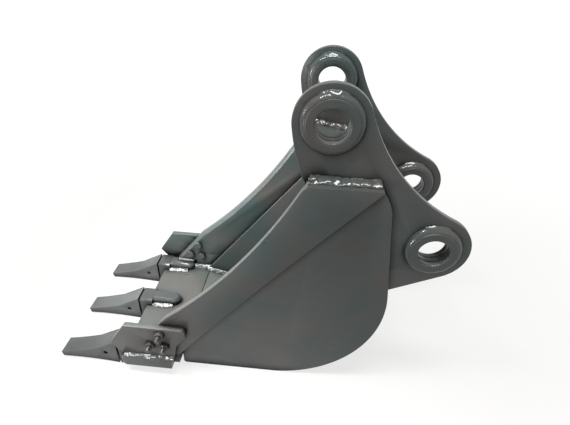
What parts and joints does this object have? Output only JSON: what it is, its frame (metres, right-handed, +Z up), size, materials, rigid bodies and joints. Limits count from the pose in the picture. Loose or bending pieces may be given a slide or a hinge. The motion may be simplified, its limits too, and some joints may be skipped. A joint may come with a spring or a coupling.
{
  "type": "excavator trenching bucket",
  "caption": "Narrow digging bucket for a small excavator: pin hangers, rounded heel, thick side bars, pointed teeth and bolt-on side cutters.",
  "frame": {"origin": "middle of the arm pin axis, halfway between the two hanger plates", "axes": "+Y along both pins; -X towards the tooth tips; +Z up with the bucket standing on its flat bottom"},
  "size_m": [0.7729, 0.352, 0.6095],
  "materials": {
    "enamel": "semi-gloss dark grey enamel over welded plate",
    "weld": "semi-gloss dark grey enamel over rippled weld beads",
    "adapter_enamel": "semi-gloss dark grey enamel over forged steel",
    "tooth_enamel": "semi-gloss dark grey enamel over cast steel",
    "pin_steel": "painted cross pin, driven flush",
    "fastener": "painted bolts and nuts"
  },
  "bodies": {
    "root": {"adapter_left": "adapter_enamel", "adapter_middle": "adapter_enamel", "adapter_right": "adapter_enamel", "adapter_welds": "weld", "arm_collar_inner_left": "enamel", "arm_collar_inner_right": "enamel", "arm_collar_outer_left": "enamel", "arm_collar_outer_right": "enamel", "arm_collar_welds": "weld", "bar_top_welds": "weld", "cutter_bolts_left": "fastener", "cutter_bolts_right": "fastener", "cutter_foot_welds": "weld", "cutter_nuts_left": "fastener", "cutter_nuts_right": "fastener", "hanger_plate_left": "enamel", "hanger_plate_right": "enamel", "link_collar_inner_left": "enamel", "link_collar_inner_right": "enamel", "link_collar_outer_left": "enamel", "link_collar_outer_right": "enamel", "link_collar_welds": "weld", "lip": "enamel", "shell": "enamel", "side_bar_left": "enamel", "side_bar_right": "enamel", "side_cutter_left": "enamel", "side_cutter_right": "enamel", "side_panel_left": "enamel", "side_panel_right": "enamel", "tooth_left": "tooth_enamel", "tooth_middle": "tooth_enamel", "tooth_pin_left": "pin_steel", "tooth_pin_middle": "pin_steel", "tooth_pin_right": "pin_steel", "tooth_right": "tooth_enamel"}
  },
  "joints": []
}
